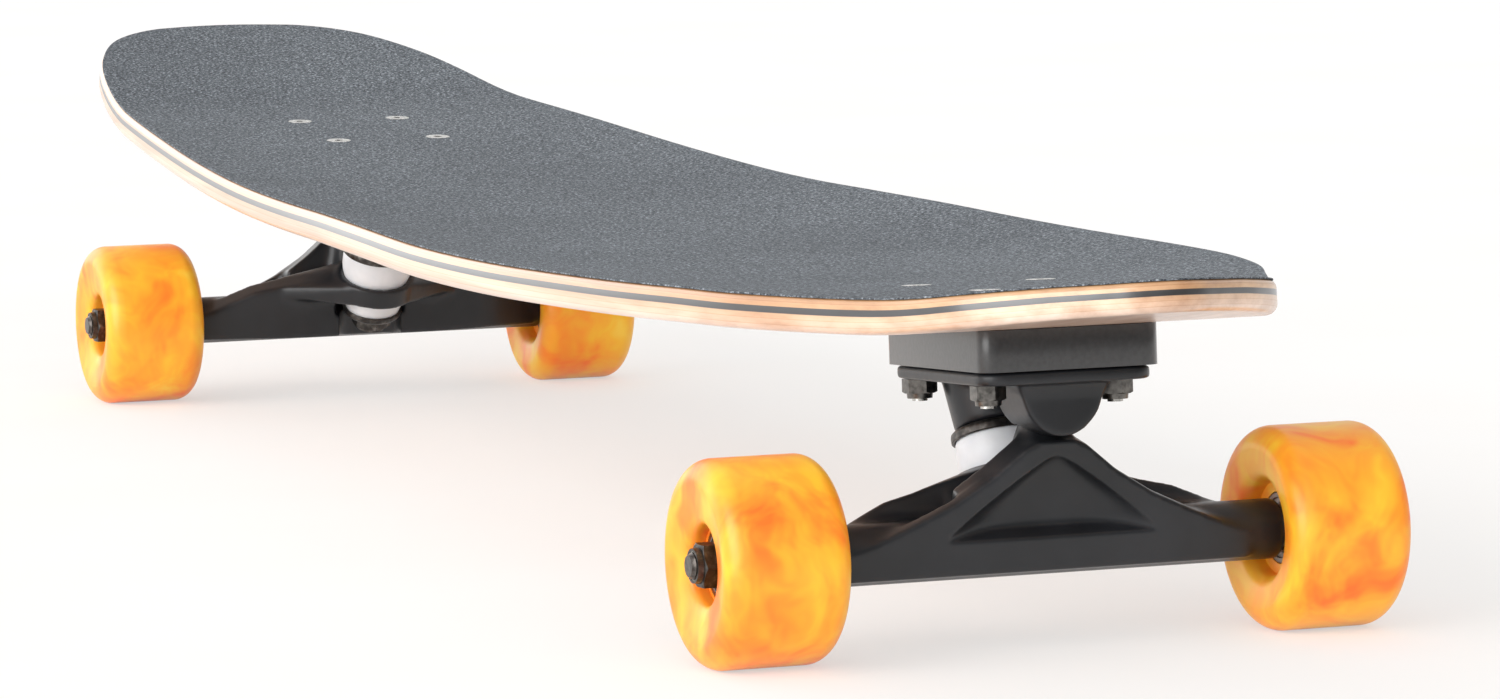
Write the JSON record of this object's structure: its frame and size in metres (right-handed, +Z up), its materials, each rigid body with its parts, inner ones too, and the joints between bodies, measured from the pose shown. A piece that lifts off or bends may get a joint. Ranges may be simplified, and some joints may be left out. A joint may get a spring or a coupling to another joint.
{
  "type": "longboard skateboard",
  "caption": "Longboard skateboard with a dished plywood deck, kicked nose and tail, grip tape, lean-to-steer trucks on risers and soft rolling wheels.",
  "frame": {"origin": "on the ground under the middle of the whole board", "axes": "+X to the nose, +Y to the left as seen when riding towards the nose, +Z up"},
  "size_m": [0.9965, 0.229, 0.1381],
  "materials": {
    "maple_plywood": "clear satin lacquer over pressed maple plies, one dark ply in the edge",
    "grip_tape": "coarse charcoal grit",
    "riser_plastic": "satin black",
    "black_cast_alloy": "satin black powder coat over cast alloy",
    "black_steel": "black oxide",
    "axle_steel": "dark plated",
    "bearing_steel": "ground steel with rubber shields",
    "bushing_urethane": "white satin",
    "cup_plastic": "matte black",
    "orange_urethane": "satin, marbled orange and yellow"
  },
  "bodies": {
    "board": {"deck": "maple_plywood", "grip_tape": "grip_tape", "front_riser": "riser_plastic", "front_baseplate": "black_cast_alloy", "front_pivot_cup": "cup_plastic", "front_kingpin": "black_steel", "front_upper_cup_washer": "black_steel", "front_lower_cup_washer": "black_steel", "front_upper_bushing": "bushing_urethane", "front_lower_bushing": "bushing_urethane", "front_kingpin_nut": "black_steel", "front_deck_bolt_1": "black_steel", "front_deck_bolt_2": "black_steel", "front_deck_bolt_3": "black_steel", "front_deck_bolt_4": "black_steel", "front_deck_nut_1": "black_steel", "front_deck_nut_2": "black_steel", "front_deck_nut_3": "black_steel", "front_deck_nut_4": "black_steel", "rear_riser": "riser_plastic", "rear_baseplate": "black_cast_alloy", "rear_pivot_cup": "cup_plastic", "rear_kingpin": "black_steel", "rear_upper_cup_washer": "black_steel", "rear_lower_cup_washer": "black_steel", "rear_upper_bushing": "bushing_urethane", "rear_lower_bushing": "bushing_urethane", "rear_kingpin_nut": "black_steel", "rear_deck_bolt_1": "black_steel", "rear_deck_bolt_2": "black_steel", "rear_deck_bolt_3": "black_steel", "rear_deck_bolt_4": "black_steel", "rear_deck_nut_1": "black_steel", "rear_deck_nut_2": "black_steel", "rear_deck_nut_3": "black_steel", "rear_deck_nut_4": "black_steel"},
    "front_hanger_set": {"front_hanger": "black_cast_alloy", "front_axle": "axle_steel", "front_left_bearing_spacer": "axle_steel", "front_left_axle_nut": "black_steel", "front_right_bearing_spacer": "axle_steel", "front_right_axle_nut": "black_steel"},
    "rear_hanger_set": {"rear_hanger": "black_cast_alloy", "rear_axle": "axle_steel", "rear_left_bearing_spacer": "axle_steel", "rear_left_axle_nut": "black_steel", "rear_right_bearing_spacer": "axle_steel", "rear_right_axle_nut": "black_steel"},
    "front_left_wheel_set": {"front_left_wheel": "orange_urethane", "front_left_inner_bearing": "bearing_steel", "front_left_outer_bearing": "bearing_steel"},
    "front_right_wheel_set": {"front_right_wheel": "orange_urethane", "front_right_inner_bearing": "bearing_steel", "front_right_outer_bearing": "bearing_steel"},
    "rear_left_wheel_set": {"rear_left_wheel": "orange_urethane", "rear_left_inner_bearing": "bearing_steel", "rear_left_outer_bearing": "bearing_steel"},
    "rear_right_wheel_set": {"rear_right_wheel": "orange_urethane", "rear_right_inner_bearing": "bearing_steel", "rear_right_outer_bearing": "bearing_steel"}
  },
  "joints": [
    {"name": "front_steer", "type": "hinge", "parent": "board", "child": "front_hanger_set", "pos_m": [0.37281, 0, 0.04611], "axis": [0.7589, 0, 0.6512], "range_deg": [-12, 12], "stiffness_Nm_per_rad": 45, "deforming": ["front_upper_bushing", "front_lower_bushing"]},
    {"name": "rear_steer", "type": "hinge", "parent": "board", "child": "rear_hanger_set", "pos_m": [-0.27711, 0, 0.04611], "axis": [-0.7589, 0, 0.6512], "range_deg": [-12, 12], "stiffness_Nm_per_rad": 45, "deforming": ["rear_upper_bushing", "rear_lower_bushing"]},
    {"name": "front_left_spin", "type": "hinge", "parent": "front_hanger_set", "child": "front_left_wheel_set", "pos_m": [0.39854, 0.09135, 0.0315], "axis": [0, 1, 0], "continuous": true},
    {"name": "front_right_spin", "type": "hinge", "parent": "front_hanger_set", "child": "front_right_wheel_set", "pos_m": [0.39854, -0.09135, 0.0315], "axis": [0, 1, 0], "continuous": true},
    {"name": "rear_left_spin", "type": "hinge", "parent": "rear_hanger_set", "child": "rear_left_wheel_set", "pos_m": [-0.30284, 0.09135, 0.0315], "axis": [0, 1, 0], "continuous": true},
    {"name": "rear_right_spin", "type": "hinge", "parent": "rear_hanger_set", "child": "rear_right_wheel_set", "pos_m": [-0.30284, -0.09135, 0.0315], "axis": [0, 1, 0], "continuous": true}
  ]
}
